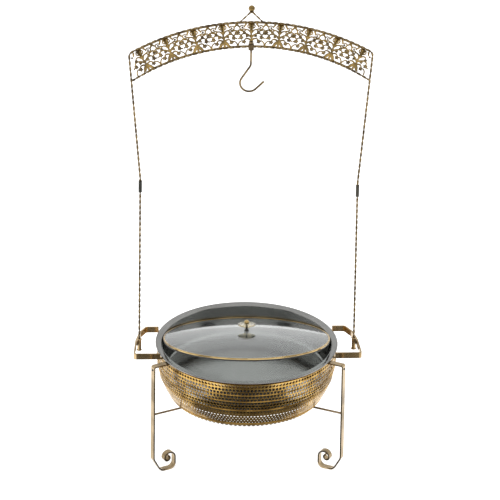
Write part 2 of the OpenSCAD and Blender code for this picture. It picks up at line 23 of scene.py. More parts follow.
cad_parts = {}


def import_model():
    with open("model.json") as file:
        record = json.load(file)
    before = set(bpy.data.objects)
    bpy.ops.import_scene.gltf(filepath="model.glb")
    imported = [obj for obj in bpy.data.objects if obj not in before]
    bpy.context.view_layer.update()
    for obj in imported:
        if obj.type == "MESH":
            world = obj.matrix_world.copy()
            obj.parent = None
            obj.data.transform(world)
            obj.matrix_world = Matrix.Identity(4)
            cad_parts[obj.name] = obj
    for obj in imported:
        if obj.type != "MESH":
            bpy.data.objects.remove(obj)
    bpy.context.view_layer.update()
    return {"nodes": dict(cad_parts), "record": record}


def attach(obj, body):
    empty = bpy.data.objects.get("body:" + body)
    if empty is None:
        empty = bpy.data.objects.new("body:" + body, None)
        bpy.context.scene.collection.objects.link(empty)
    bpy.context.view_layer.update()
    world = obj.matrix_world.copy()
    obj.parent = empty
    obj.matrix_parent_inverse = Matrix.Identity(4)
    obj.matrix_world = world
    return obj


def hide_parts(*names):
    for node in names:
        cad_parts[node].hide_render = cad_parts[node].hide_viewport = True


LOG = logging.getLogger("food_warmer")
MM = 0.001
TAU = 2.0 * math.pi
WELD = 2e-6  # distance at which vertices merge, in metres
SHARP_ANGLE = 38.0  # faces that meet at more than this keep a hard edge, in degrees
EDGE_WIDTH = 0.35  # bevel on the CAD nodes' edges
EDGE_SEGMENTS = 2
EDGE_ANGLE = 40.0  # only edges sharper than this are bevelled, in degrees


# ---- shader maths ------------------------------------------------------------------------------


class Socket:
    """An output socket that can be used in sums and products with numbers and other sockets."""

    def __init__(self, graph: "Graph", socket: Any) -> None:
        """Keep the graph that the socket belongs to."""
        self.graph = graph
        self.socket = socket

    def _math(self, operation: str, a: Any, b: Any) -> "Socket":
        """A Math node on two values."""
        return self.graph.node("ShaderNodeMath", inputs={0: a, 1: b}, operation=operation)

    def __add__(self, other: Any) -> "Socket":
        """This value plus another."""
        return self._math("ADD", self, other)

    def __radd__(self, other: Any) -> "Socket":
        """Another value plus this one."""
        return self._math("ADD", other, self)

    def __sub__(self, other: Any) -> "Socket":
        """This value minus another."""
        return self._math("SUBTRACT", self, other)

    def __rsub__(self, other: Any) -> "Socket":
        """Another value minus this one."""
        return self._math("SUBTRACT", other, self)

    def __mul__(self, other: Any) -> "Socket":
        """This value times another."""
        return self._math("MULTIPLY", self, other)

    def __rmul__(self, other: Any) -> "Socket":
        """Another value times this one."""
        return self._math("MULTIPLY", other, self)

    def __truediv__(self, other: Any) -> "Socket":
        """This value over another."""
        return self._math("DIVIDE", self, other)

    def __rtruediv__(self, other: Any) -> "Socket":
        """Another value over this one."""
        return self._math("DIVIDE", other, self)


class Graph:
    """The node tree of one material."""

    def __init__(self, name: str) -> None:
        """Make an empty material."""
        self.material = bpy.data.materials.new(name)
        self.material.use_nodes = True
        self.tree = self.material.node_tree
        self.tree.nodes.clear()

    def node(
        self, kind: str, inputs: dict[Any, Any] | None = None, out: Any = 0, **settings: Any
    ) -> Socket:
        """Make a node, set its properties and feed its inputs.

        Args:
            kind: Blender's name of the node type.
            inputs: values or sockets by input name or number.
            out: name or number of the output that is returned.
            settings: properties of the node itself.

        Returns:
            The chosen output.
        """
        made = self.tree.nodes.new(kind)
        for key, value in settings.items():
            setattr(made, key, value)
        for key, value in (inputs or {}).items():
            if isinstance(value, Socket):
                self.tree.links.new(value.socket, made.inputs[key])
            else:
                made.inputs[key].default_value = value
        return Socket(self, made.outputs[out] if len(made.outputs) else None)

    def noise(
        self, scale: float, detail: float = 3.0, stretch: Sequence[float] = (1.0, 1.0, 1.0)
    ) -> Socket:
        """Noise from 0 to 1 over object coordinates, with scale cells per metre."""
        place = self.node("ShaderNodeTexCoord", out="Object")
        place = self.node("ShaderNodeMapping", {"Vector": place, "Scale": tuple(stretch)}, out="Vector")
        return self.node(
            "ShaderNodeTexNoise",
            {"Vector": place, "Scale": scale, "Detail": detail},
            out=0,
            noise_dimensions="3D",
        )

    def ramp(self, value: Socket, low: float, high: float) -> Socket:
        """Value stretched so that low becomes 0 and high becomes 1, smoothly and clamped."""
        return self.node(
            "ShaderNodeMapRange",
            {"Value": value, "From Min": low, "From Max": high},
            out=0,
            interpolation_type="SMOOTHSTEP",
            clamp=True,
        )

    def blend(self, share: Any, a: Sequence[float], b: Sequence[float]) -> Socket:
        """Colour a at share 0 and colour b at share 1."""
        return self.node(
            "ShaderNodeMix",
            {0: share, 6: (*a, 1.0), 7: (*b, 1.0)},
            out=2,
            data_type="RGBA",
        )


@dataclass(frozen=True)
class Finish:
    """How one material slot looks.

    Args:
        slot: the record's material slot.
        color: main linear colour.
        shade: colour in the worn or darker patches.
        rough: mean roughness.
        metallic: share of metal.
        patches: size of the patches, in cells per metre.
        grain: cells per metre of the fine relief.
        relief: depth of the fine relief, in metres.
        stretch: scaling of the grain's axes, for brushed or wavy metal.
        transmission: share of light let through.
        ior: refractive index.
    """

    slot: str
    color: tuple[float, float, float]
    shade: tuple[float, float, float]
    rough: float
    metallic: float = 1.0
    patches: float = 18.0
    grain: float = 900.0
    relief: float = 0.00002
    stretch: tuple[float, float, float] = (1.0, 1.0, 1.0)
    transmission: float = 0.0
    ior: float = 1.5

    def build(self) -> bpy.types.Material:
        """Make the material: two colours mixed by broad noise, uneven gloss and a fine relief."""
        g = Graph(self.slot)
        broad = g.ramp(g.noise(self.patches), 0.38, 0.66)
        fine = g.noise(self.grain, detail=2.0, stretch=self.stretch)
        color = g.blend(broad, self.color, self.shade)
        rough = self.rough * (0.8 + 0.3 * broad) + 0.05 * fine
        bump = g.node("ShaderNodeBump", {"Height": fine, "Distance": self.relief, "Strength": 0.6}, out=0)
        surface = g.node(
            "ShaderNodeBsdfPrincipled",
            {
                "Base Color": color,
                "Roughness": rough,
                "Metallic": self.metallic,
                "Normal": bump,
                "Transmission Weight": self.transmission,
                "IOR": self.ior,
            },
            out=0,
        )
        g.node("ShaderNodeOutputMaterial", {"Surface": surface})
        return g.material


class Slot(Enum):
    """Every finish on the object."""

    GOLD_STRIP = Finish("gold_strip", (0.56, 0.42, 0.24), (0.30, 0.21, 0.10), 0.16, patches=26.0)
    ROSE_GOLD = Finish("rose_gold", (0.45, 0.34, 0.20), (0.22, 0.16, 0.085), 0.16, patches=26.0)
    TWIST_GOLD = Finish("twist_gold", (0.24, 0.17, 0.08), (0.07, 0.05, 0.03), 0.16, patches=60.0)
    DARK_SLEEVE = Finish("dark_sleeve", (0.05, 0.045, 0.035), (0.02, 0.02, 0.015), 0.32, metallic=0.6)
    BASKET_GOLD = Finish("basket_gold", (0.58, 0.37, 0.11), (0.27, 0.16, 0.045), 0.24, patches=36.0)
    FILIGREE_GOLD = Finish("filigree_gold", (0.30, 0.20, 0.07), (0.13, 0.09, 0.04), 0.28, patches=50.0)
    PAN_STEEL = Finish(
        "pan_steel", (0.31, 0.31, 0.30), (0.25, 0.25, 0.24), 0.16, patches=8.0, grain=400.0, relief=0.000006
    )
    LID_GLASS = Finish(
        "lid_glass",
        (0.93, 0.97, 0.96),
        (0.91, 0.96, 0.95),
        0.01,
        metallic=0.0,
        relief=0.000002,
        transmission=1.0,
        ior=1.47,
    )
    RIM_GOLD = Finish("rim_gold", (0.52, 0.38, 0.17), (0.26, 0.18, 0.08), 0.16)
    KNOB_CLEAR = Finish(
        "knob_clear",
        (0.95, 0.85, 0.62),
        (0.92, 0.80, 0.55),
        0.04,
        metallic=0.0,
        relief=0.000004,
        transmission=1.0,
        ior=1.45,
    )
    BLACK_STEEL = Finish("black_steel", (0.02, 0.02, 0.02), (0.03, 0.03, 0.03), 0.3, metallic=0.4)
    PLAIN_STEEL = Finish(
        "plain_steel", (0.55, 0.55, 0.55), (0.45, 0.45, 0.45), 0.34, stretch=(1.0, 12.0, 1.0)
    )


# ---- meshes ------------------------------------------------------------------------------------


def grid_quads(rows: int, cols: int, wrap_rows: bool = False, wrap_cols: bool = True) -> np.ndarray:
    """Quads over a grid of vertices stored row by row.

    Args:
        rows: number of rows.
        cols: number of vertices in a row.
        wrap_rows: joins the last row to the first.
        wrap_cols: joins the last column to the first.

    Returns:
        One row of four vertex numbers for each quad.
    """
    i = np.arange(rows if wrap_rows else rows - 1)[:, None]
    j = np.arange(cols if wrap_cols else cols - 1)[None, :]
    down, right = (i + 1) % rows, (j + 1) % cols
    corners = [i * cols + j, i * cols + right, down * cols + right, down * cols + j]
    return np.stack(corners, -1).reshape(-1, 4)


def fan(center: int, ring: np.ndarray) -> np.ndarray:
    """Triangles from one vertex to a closed ring of others."""
    return np.stack([np.full(len(ring), center), ring, np.roll(ring, -1)], -1)


@dataclass
class Shell:
    """A mesh in the making, in millimetres."""

    points: list[np.ndarray] = field(default_factory=list)
    faces: list[list[int]] = field(default_factory=list)
    count: int = 0

    def add(self, points: np.ndarray, *faces: np.ndarray) -> None:
        """Append a block of vertices and its faces, whose numbers count from the block's start."""
        for block in faces:
            self.faces.extend((block + self.count).tolist())
        self.points.append(np.asarray(points, float).reshape(-1, 3))
        self.count += len(self.points[-1])

    def lathe(self, profile: np.ndarray, around: int = 256, place: Callable | None = None) -> None:
        """Turn a closed outline about Z: each point (r, z) becomes the ring (r cos a, r sin a, z).

        Args:
            profile: points of the outline as (radius, height). Where its first and last points lie on
                the axis, they become poles, and otherwise the outline closes on itself.
            around: number of points round the axis.
            place: moves the finished points to their place.
        """
        profile = np.asarray(profile, float)
        angle = np.arange(around) * TAU / around
        poles = profile[0, 0] == 0.0 and profile[-1, 0] == 0.0
        body = profile[1:-1] if poles else profile
        rings = np.stack(
            [
                body[:, :1] * np.cos(angle),
                body[:, :1] * np.sin(angle),
                np.repeat(body[:, 1:], around, 1),
            ],
            -1,
        ).reshape(-1, 3)
        quads = grid_quads(len(body), around, wrap_rows=not poles)
        if poles:
            ends = np.array([[0, 0, profile[0, 1]], [0, 0, profile[-1, 1]]])
            points = np.vstack([rings, ends])
            first, last = np.arange(around), np.arange(around) + (len(body) - 1) * around
            faces = [quads, fan(len(rings), first), fan(len(rings) + 1, last)]
        else:
            points, faces = rings, [quads]
        self.add(place(points) if place else points, *faces)

    def tube(
        self,
        path: np.ndarray,
        radius: float | np.ndarray,
        sides: int = 12,
        up: Sequence[float] = (0.0, 1.0, 0.0),
        flat: float | np.ndarray = 1.0,
        lobes: np.ndarray | None = None,
        twist: np.ndarray | None = None,
        closed: bool = False,
    ) -> None:
        """Sweep a section along a line.

        Args:
            path: points of the centre line.
            radius: half width of the section, one value or one for each point.
            sides: number of points round the section.
            up: a direction that the line never runs along.
            flat: thickness over width of the section, measured along up.
            lobes: radius of the section at each side as a share of the whole.
            twist: angle of the section at each point.
            closed: joins the line's ends.
        """
        path = np.asarray(path, float)
        count = len(path)
        ahead = np.roll(path, -1, 0) - np.roll(path, 1, 0)
        if not closed:
            ahead[0], ahead[-1] = path[1] - path[0], path[-1] - path[-2]
        ahead /= np.linalg.norm(ahead, axis=1, keepdims=True)
        side = np.cross(ahead, np.asarray(up, float))
        side /= np.linalg.norm(side, axis=1, keepdims=True)
        rise = np.cross(side, ahead)
        turn = np.arange(sides) * TAU / sides
        share = np.ones(sides) if lobes is None else lobes
        angle = turn[None, :] + (np.zeros(count) if twist is None else twist)[:, None]
        reach = np.broadcast_to(radius, (count,))[:, None] * share[None, :]
        thin = np.broadcast_to(flat, (count,))[:, None]
        rings = (
            path[:, None, :]
            + (reach * np.cos(angle))[..., None] * side[:, None, :]
            + (reach * thin * np.sin(angle))[..., None] * rise[:, None, :]
        ).reshape(-1, 3)
        quads = grid_quads(count, sides, wrap_rows=closed)
        if closed:
            self.add(rings, quads)
            return
        points = np.vstack([rings, path[:1], path[-1:]])
        self.add(
            points,
            quads,
            fan(len(rings), np.arange(sides)),
            fan(len(rings) + 1, np.arange(sides) + (count - 1) * sides),
        )

    def blobs(
        self, centers: np.ndarray, axes: np.ndarray, lobes: int = 0, rows: int = 6, cols: int = 15
    ) -> None:
        """Domed blobs: each is the unit sphere with its waist rippled, times three half axes of its own.

        Args:
            centers: the blobs' middles.
            axes: three half axes for each blob.
            lobes: number of ripples round the third axis.
            rows: number of steps from pole to pole.
            cols: number of points round the waist.
        """
        height = np.arange(1, rows) * math.pi / rows
        angle = np.arange(cols) * TAU / cols
        waist = 1.0 + (0.16 * (np.cos(lobes * angle) - 1.0) if lobes else 0.0 * angle)
        unit = np.stack(
            [
                np.sin(height)[:, None] * (np.cos(angle) * waist)[None, :],
                np.sin(height)[:, None] * (np.sin(angle) * waist)[None, :],
                np.repeat(np.cos(height)[:, None], cols, 1),
            ],
            -1,
        ).reshape(-1, 3)
        unit = np.vstack([unit, [[0, 0, 1.0], [0, 0, -1.0]]])
        points = centers[:, None, :] + np.einsum("pk,nkc->npc", unit, axes)
        size = len(unit)
        ring = np.arange(cols)
        faces = [
            grid_quads(rows - 1, cols),
            fan(size - 2, ring),
            fan(size - 1, ring + (rows - 2) * cols),
        ]
        start = (np.arange(len(centers)) * size)[:, None, None]
        self.add(points.reshape(-1, 3), *[(f[None] + start).reshape(-1, f.shape[1]) for f in faces])

    def build(
        self, name: str, body: str, slot: Slot, replaces: Sequence[str] = ()
    ) -> bpy.types.Object:
        """Write the mesh in metres, weld it, turn its faces outwards and put it on its CAD body.

        Args:
            name: the piece's name.
            body: the moving body that it rides on.
            slot: its finish.
            replaces: the CAD nodes that it stands for.

        Returns:
            The new object.
        """
        mesh = bpy.data.meshes.new(name)
        mesh.from_pydata((np.vstack(self.points) * MM).tolist(), [], self.faces)
        work = bmesh.new()
        work.from_mesh(mesh)
        bmesh.ops.remove_doubles(work, verts=work.verts, dist=WELD)
        bmesh.ops.recalc_face_normals(work, faces=work.faces)
        work.to_mesh(mesh)
        work.free()
        mesh.polygons.foreach_set("use_smooth", np.ones(len(mesh.polygons), bool))
        mesh.set_sharp_from_angle(angle=math.radians(SHARP_ANGLE))
        made = bpy.data.objects.new(name, mesh)
        bpy.context.scene.collection.objects.link(made)
        mesh.materials.append(MATERIALS[slot])
        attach(made, body)
        if replaces:
            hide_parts(*replaces)
        LOG.info("%s: %d faces", name, len(mesh.polygons))
        return made


MATERIALS: dict[Slot, bpy.types.Material] = {}


def flat_line(points: np.ndarray) -> np.ndarray:
    """Points given as (x, z) in the hanger's upright plane, as points in space."""
    points = np.asarray(points, float)
    return np.stack([points[:, 0], np.zeros(len(points)), points[:, 1]], -1)


def arc(center: Sequence[float], radius: float, start: float, end: float, count: int) -> np.ndarray:
    """Points on an arc in a plane, from angle start to angle end in degrees."""
    a = np.radians(np.linspace(start, end, count))
    return np.stack([center[0] + radius * np.cos(a), center[1] + radius * np.sin(a)], -1)


def resample(points: np.ndarray, step: float) -> np.ndarray:
    """The same line with points about one step apart."""
    run = np.concatenate([[0.0], np.cumsum(np.linalg.norm(np.diff(points, axis=0), axis=1))])
    at = np.linspace(0.0, run[-1], max(2, int(round(run[-1] / step)) + 1))
    return np.stack([np.interp(at, run, points[:, k]) for k in range(points.shape[1])], -1)


def smooth_line(knots: Sequence[Sequence[float]], count: int = 24) -> np.ndarray:
    """A Catmull-Rom curve, whose slope at each knot is that of the line between its neighbours.

    Args:
        knots: the points that the curve passes through.
        count: number of points on the curve.

    Returns:
        The curve's points.
    """
    k = np.asarray(knots, float)
    k = np.vstack([2 * k[0] - k[1], k, 2 * k[-1] - k[-2]])
    t = np.linspace(0.0, len(k) - 3.0, count)
    i = np.minimum(t.astype(int), len(k) - 4)
    f = (t - i)[:, None]
    a, b, c, d = k[i], k[i + 1], k[i + 2], k[i + 3]
    square, cube = 2 * a - 5 * b + 4 * c - d, 3 * b - a - 3 * c + d
    return 0.5 * (2 * b + (c - a) * f + square * f**2 + cube * f**3)


def rounded_corner(
    a: Sequence[float], b: Sequence[float], c: Sequence[float], radius: float, count: int
) -> np.ndarray:
    """The fillet at a corner: the arc whose centre lies on the corner's bisector.

    Args:
        a: a point on the line into the corner.
        b: the corner.
        c: a point on the line out of it.
        radius: the fillet's radius.
        count: number of points on the arc.

    Returns:
        Points of the arc from the side of a to the side of c.
    """
    a, b, c = (np.asarray(p, float) for p in (a, b, c))
    u, v = (a - b) / np.linalg.norm(a - b), (c - b) / np.linalg.norm(c - b)
    half = math.acos(float(np.clip(u @ v, -1, 1))) / 2
    mid = b + (u + v) / np.linalg.norm(u + v) * radius / math.sin(half)
    p, q = b + u * radius / math.tan(half) - mid, b + v * radius / math.tan(half) - mid
    start = math.degrees(math.atan2(p[1], p[0]))
    sweep = (math.degrees(math.atan2(q[1], q[0])) - start + 180) % 360 - 180
    return arc(mid, radius, start, start + sweep, count)


def strip_outline(line: np.ndarray, thick: float) -> np.ndarray:
    """Closed outline of a sheet: its centre line moved by half the thickness to both sides, with mitres.

    Args:
        line: points of the centre line.
        thick: the sheet's thickness.

    Returns:
        The points of one side and then those of the other, backwards.
    """
    step = np.diff(line, axis=0)
    step /= np.linalg.norm(step, axis=1, keepdims=True)
    normal = np.stack([-step[:, 1], step[:, 0]], -1)
    before, after = np.vstack([normal[:1], normal]), np.vstack([normal, normal[-1:]])
    mitre = before + after
    mitre /= np.linalg.norm(mitre, axis=1, keepdims=True)
    off = mitre * (thick / 2 / np.sum(mitre * before, axis=1, keepdims=True))
    return np.vstack([line + off, (line - off)[::-1]])


# ---- pans and lid ------------------------------------------------------------------------------


@dataclass(frozen=True)
class Pans:
    """The food pan and the water pan under it."""

    rim_z: float = 240.0
    flange_r: float = 181.0
    mouth_r: float = 167.5
    bead_r: float = 1.8
    sheet: float = 1.2
    food_depth: float = 64.0
    water_depth: float = 84.0
    lean: float = 5.5
    wall_gap: float = 1.0
    ring_out: float = 175.2

    def line(
        self, flange_out: float, z: float, mouth: float, depth: float, lip: float, corner: float
    ) -> np.ndarray:
        """Centre line of a pan's sheet: a level flange, a leaning wall with two fillets and a level floor.

        Args:
            flange_out: radius at which the flange ends.
            z: height of the flange.
            mouth: radius of the corner between the flange and the wall.
            depth: drop from the flange to the floor.
            lip: radius of the fillet at the mouth.
            corner: radius of the fillet at the floor.

        Returns:
            Points as (radius, height).
        """
        foot = (mouth - math.tan(math.radians(self.lean)) * (depth - 4), z - depth)
        return np.vstack(
            [
                [[flange_out, z]],
                rounded_corner((flange_out, z), (mouth, z), foot, lip, 7),
                rounded_corner((mouth, z), foot, (0, z - depth), corner, 12),
                [[120.0, z - depth], [60.0, z - depth], [20.0, z - depth], [0.0, z - depth]],
            ]
        )

    def build(self) -> None:
        """Model both pans as turned sheets, the food pan with its rolled edge."""
        plate = self.rim_z - self.bead_r + self.sheet
        bead = (self.flange_r - self.bead_r, self.rim_z - self.bead_r)
        food = Shell()
        mouth = self.mouth_r + self.sheet / 2
        line = self.line(bead[0], plate - self.sheet / 2, mouth, self.food_depth - 1, 3.0, 9.0)
        food.lathe(np.roll(strip_outline(line, self.sheet), len(line), 0), 320)
        food.lathe(arc(bead, self.bead_r, 0, 342, 20), 320)
        food.build("food_pan_sheet", "food_pan", Slot.PAN_STEEL, ["food_pan"])
        water = Shell()
        mouth = self.mouth_r + 1.5 * self.sheet + self.wall_gap
        line = self.line(
            self.ring_out - 0.1, plate - 1.5 * self.sheet, mouth, self.water_depth - 3, 1.2, 10.0
        )
        water.lathe(np.roll(strip_outline(line, self.sheet), len(line), 0), 256)
        water.build("water_pan_sheet", "water_pan", Slot.PAN_STEEL, ["water_pan"])


@dataclass(frozen=True)
class Lid:
    """The tilted glass lid with its rim band and knob."""

    radius: float = 165.5
    edge_up: float = 1.5
    glass: float = 4.0
    dome: float = 15.0
    tilt: float = 12.2
    foot_z: float = 243.0
    knob_r: float = 18.0
    knob_foot: float = 26.5
    knob_h: float = 8.3
    lip_wide: float = 3.4
    seam: float = 3.2
    groove: float = 2.4
    cap_r: float = 5.0

    def place(self, points: np.ndarray) -> np.ndarray:
        """Turn points of the level lid about X by its tilt and lift them to the pan's mouth.

        Args:
            points: points of the level lid, whose rim stands at height 0.

        Returns:
            The points in their place.
        """
        c, s = math.cos(math.radians(self.tilt)), math.sin(math.radians(self.tilt))
        x, y, z = points.T
        return np.stack([x, y * c + z * s, z * c - y * s + self.foot_z], -1)

    def dome_line(self, z: float, count: int = 30) -> np.ndarray:
        """The dome's line from the axis to its edge: part of a great circle.

        Args:
            z: height of the line's end at the edge.
            count: number of points.

        Returns:
            Points as (radius, height).
        """
        edge = self.radius - 2.5
        big = (edge * edge + self.dome * self.dome) / (2 * self.dome)
        a = np.linspace(0.0, math.asin(edge / big), count)
        return np.stack([big * np.sin(a), z + self.dome - big * (1 - np.cos(a))], -1)

    def model_dome(self) -> None:
        """Model the glass between two great circles."""
        glass = Shell()
        under, over = self.dome_line(self.edge_up), self.dome_line(self.edge_up + self.glass)
        glass.lathe(np.vstack([under, over[::-1]]), 256, self.place)
        glass.build("lid_dome", "lid", Slot.LID_GLASS, ["lid_glass"])

    def rim(self) -> None:
        """Model the gold band over the glass edge and a black band under it."""
        out, lip = self.radius, self.radius - self.lip_wide
        face, top = self.edge_up + self.glass, self.edge_up + self.glass + 0.6
        band = np.vstack(
            [
                [[lip, top - 0.3], [lip, face + 0.1], [out - self.groove, face]],
                [[out - self.groove, self.seam], [out - 0.1, self.seam]],
                arc((out - 1.3, top - 1.3), 1.3, 0, 90, 7),
                arc((lip + 0.4, top - 0.4), 0.4, 90, 160, 5),
            ]
        )
        rim = Shell()
        rim.lathe(band, 320, self.place)
        rim.build("lid_rim_band", "lid", Slot.RIM_GOLD, ["lid_rim"])
        # A black band under the gold band, in the black_steel finish, from just below the glass edge up to
        # the seam.
        inner, under = out - self.groove, self.edge_up - 0.1
        strip = np.vstack(
            [
                [[inner, self.seam - 0.1], [inner, under], [lip, under]],
                arc((lip + 0.8, 0.8), 0.8, 180, 270, 5),
                arc((out - 1.3, 1.3), 1.3, 270, 360, 7),
                [[out, self.seam - 0.1]],
            ]
        )
        black_band = Shell()
        black_band.lathe(strip, 320, self.place)
        black_band.build("lid_rim_black_band", "lid", Slot.BLACK_STEEL)

    def knob(self) -> None:
        """Model the clear saucer round its bore and the gold cap on it."""
        saucer = Shell()
        foot, top, r = self.knob_foot, self.knob_foot + self.knob_h, self.knob_r
        outline = np.vstack(
            [
                [[2.6, foot], [6.0, foot], [8.5, foot + 1.6], [12.0, foot + 3.6]],
                arc((r - 1.9, foot + 6.3), 1.9, -70, 90, 10),
                [[13.0, top - 0.6], [8.5, top - 1.3], [6.6, top - 0.6], [6.0, top], [2.6, top]],
            ]
        )
        saucer.lathe(outline, 96, self.place)
        saucer.build("knob_saucer", "knob", Slot.KNOB_CLEAR, ["lid_knob"])
        cap = Shell()
        middle = top + self.cap_r / 2
        outline = np.vstack(
            [
                [[0.0, top], [4.3, top], [4.6, top + 0.4]],
                arc((0, middle), self.cap_r, -22, 90, 16)[:-1],
                [[0.0, middle + self.cap_r]],
            ]
        )
        cap.lathe(outline, 64, self.place)
        cap.build("knob_cap_dome", "knob", Slot.RIM_GOLD, ["knob_cap"])

    def build(self) -> None:
        """Model the whole lid."""
        self.model_dome()
        self.rim()
        self.knob()


# ---- basket ------------------------------------------------------------------------------------


class Hole(Enum):
    """The holes of a row: radius as a share of the half cell, and depth of its four ripples."""

    NONE = (0.0, 0.0)
    SMALL = (0.40, 0.0)
    ROUND = (0.80, 0.0)
    BLOSSOM = (0.84, -0.10)
    SMALL_BLOSSOM = (0.56, -0.08)


Row = tuple[float, float, Hole]


@dataclass(frozen=True)
class Basket:
    """The lace basket: rows of pierced cells between ridges, with a scalloped foot."""

    radius: float = 177.6
    foot_r: float = 152.0
    top_z: float = 225.0
    curve_z: float = 215.0
    foot_z: float = 134.0
    sheet: float = 0.9
    cells: int = 156
    scallops: int = 104
    scallop_at: float = 100.2
    foot_slope: float = 35.6
    rows_upper: tuple[Row, ...] = (
        (-8.0, -6.9, Hole.NONE),
        (-6.9, -0.6, Hole.ROUND),
        (-0.6, 0.8, Hole.NONE),
        (0.8, 7.6, Hole.ROUND),
        (7.6, 14.2, Hole.BLOSSOM),
        (14.2, 15.6, Hole.NONE),
        (15.6, 22.2, Hole.BLOSSOM),
        (22.2, 28.8, Hole.ROUND),
        (28.8, 30.2, Hole.NONE),
        (30.2, 36.8, Hole.BLOSSOM),
        (36.8, 43.4, Hole.BLOSSOM),
        (43.4, 50.0, Hole.ROUND),
        (50.0, 51.4, Hole.NONE),
    )
    rows_lower: tuple[Row, ...] = (
        (51.4, 52.8, Hole.NONE),
        (52.8, 59.2, Hole.SMALL_BLOSSOM),
        (59.2, 65.6, Hole.SMALL_BLOSSOM),
        (65.6, 72.0, Hole.SMALL_BLOSSOM),
        (72.0, 78.4, Hole.SMALL),
        (78.4, 84.8, Hole.SMALL),
        (84.8, 91.2, Hole.SMALL),
        (91.2, 96.4, Hole.NONE),
    )
    ridges: tuple[float, ...] = (14.9, 29.5, 51.4, 92.4)

    def wall(self, s: np.ndarray, depth: np.ndarray | float) -> tuple[np.ndarray, np.ndarray]:
        """A point of the wall, which is upright at first and then follows one arc that starts upright.

        Args:
            s: length down the wall from the hoop's foot.
            depth: depth under the outer face.

        Returns:
            Radius and height.
        """
        fall, inset = self.curve_z - self.foot_z, self.radius - self.foot_r
        bend = (inset * inset + fall * fall) / (2 * inset)
        upright = self.top_z - self.curve_z
        t = np.maximum(s - upright, 0.0) / bend
        r = self.radius - bend + (bend - depth) * np.cos(t)
        z = np.where(s < upright, self.top_z - s, self.curve_z - (bend - depth) * np.sin(t))
        return r, z

    def on_wall(self, s: np.ndarray, angle: np.ndarray, depth: np.ndarray | float) -> np.ndarray:
        """Points on the wall at length s, angle round the axis and depth."""
        r, z, angle = np.broadcast_arrays(*self.wall(s, depth), angle)
        return np.stack([r * np.cos(angle), r * np.sin(angle), z], -1)

    def pierced_row(self, shell: Shell, s0: float, s1: float, hole: Hole, shift: float) -> None:
        """A row of cells, each a square frame round a hole.

        Both the square and the hole have sixteen points, at the same directions. The hole's radius is
        its share of the half cell plus its ripple times the cosine of four times the direction.

        Args:
            shell: the mesh that takes the row.
            s0: where the row starts down the wall.
            s1: where it ends.
            hole: the shape of its holes.
            shift: turn of the row, in cells.
        """
        half = np.array([[1.0, 0.0], [1.0, 0.5], [1.0, 1.0], [0.5, 1.0]])
        spin = [np.array([[c, -s], [s, c]]) for c, s in ((1, 0), (0, 1), (-1, 0), (0, -1))]
        square = np.vstack([half @ m.T for m in spin])
        way = np.arctan2(square[:, 1], square[:, 0])
        size, ripple = hole.value
        edge = np.stack([np.cos(way), np.sin(way)], -1) * (size + ripple * np.cos(4 * way))[:, None]
        rings = (
            (square, 0.0),
            (edge * 1.08, 0.0),
            (edge, 0.3),
            (edge, self.sheet - 0.2),
            (square, self.sheet),
        )
        flat = np.stack([np.column_stack([r, np.full(16, d)]) for r, d in rings])
        width = TAU / self.cells
        center = (np.arange(self.cells) + shift) * width
        s = (s0 + s1) / 2 + flat[..., 1] * (s1 - s0) / 2
        points = self.on_wall(
            np.broadcast_to(s, (self.cells, 5, 16)),
            center[:, None, None] + flat[None, ..., 0] * width / 2,
            np.broadcast_to(flat[..., 2], (self.cells, 5, 16)),
        ).reshape(-1, 3)
        start = np.arange(self.cells)[:, None, None] * 5 * 16
        shell.add(points, (grid_quads(5, 16)[None] + start).reshape(-1, 4))

    def plain_row(self, shell: Shell, s0: float, s1: float, first: bool, last: bool) -> None:
        """A plain stretch of the wall.

        Args:
            shell: the mesh that takes the stretch.
            s0: where it starts down the wall.
            s1: where it ends.
            first: closes the sheet's edge at the start.
            last: closes the sheet's edge at the end.
        """
        around = self.cells * 4
        angle = np.arange(around) * TAU / around
        for depth in (0.0, self.sheet):
            s = np.array([s0, (s0 + s1) / 2, s1])
            points = self.on_wall(s[:, None], np.broadcast_to(angle, (3, around)), depth)
            shell.add(points.reshape(-1, 3), grid_quads(3, around))
        for at, wanted in ((s0, first), (s1, last)):
            if wanted:
                rows = [self.on_wall(np.full(around, at), angle, d) for d in (0.0, self.sheet)]
                shell.add(np.vstack(rows), grid_quads(2, around))

    def lace(self, name: str, rows: Sequence[Row], replaces: Sequence[str]) -> None:
        """Model one stretch of the wall, whose rows are turned by half a cell in turn.

        Args:
            name: the piece's name.
            rows: its rows from the top down.
            replaces: the CAD nodes that it stands for.
        """
        shell = Shell()
        for i, (s0, s1, hole) in enumerate(rows):
            if hole is Hole.NONE:
                self.plain_row(shell, s0, s1, i == 0, i == len(rows) - 1)
            else:
                self.pierced_row(shell, s0, s1, hole, 0.5 * (i % 2))
        shell.build(name, "stand", Slot.BASKET_GOLD, replaces)

    def foot(self) -> None:
        """Model the bead at the foot and the row of scallops under it."""
        bead = Shell()
        bead.lathe(arc((self.foot_r - 1.42, self.foot_z - 0.95), 1.6, 0, 330, 12), 256)
        bead.build("basket_foot_bead", "stand", Slot.BASKET_GOLD, ["basket_foot_hoop"])
        angle = np.arange(self.scallops) * TAU / self.scallops
        r, z = self.wall(np.array(self.scallop_at), self.sheet)
        out = np.stack([np.cos(angle), np.sin(angle), 0 * angle], -1)
        along = np.stack([-np.sin(angle), np.cos(angle), 0 * angle], -1)
        slope = math.radians(self.foot_slope)
        down = out * -math.sin(slope) - np.array([0, 0, math.cos(slope)])
        normal = out * math.cos(slope) - np.array([0, 0, math.sin(slope)])
        centers = out * float(r) + np.array([0, 0, float(z)])
        edge = Shell()
        edge.blobs(centers, np.stack([along * 3.9, down * 5.2, normal * 1.6], 1), rows=8, cols=14)
        edge.build("basket_scallops", "stand", Slot.TWIST_GOLD)

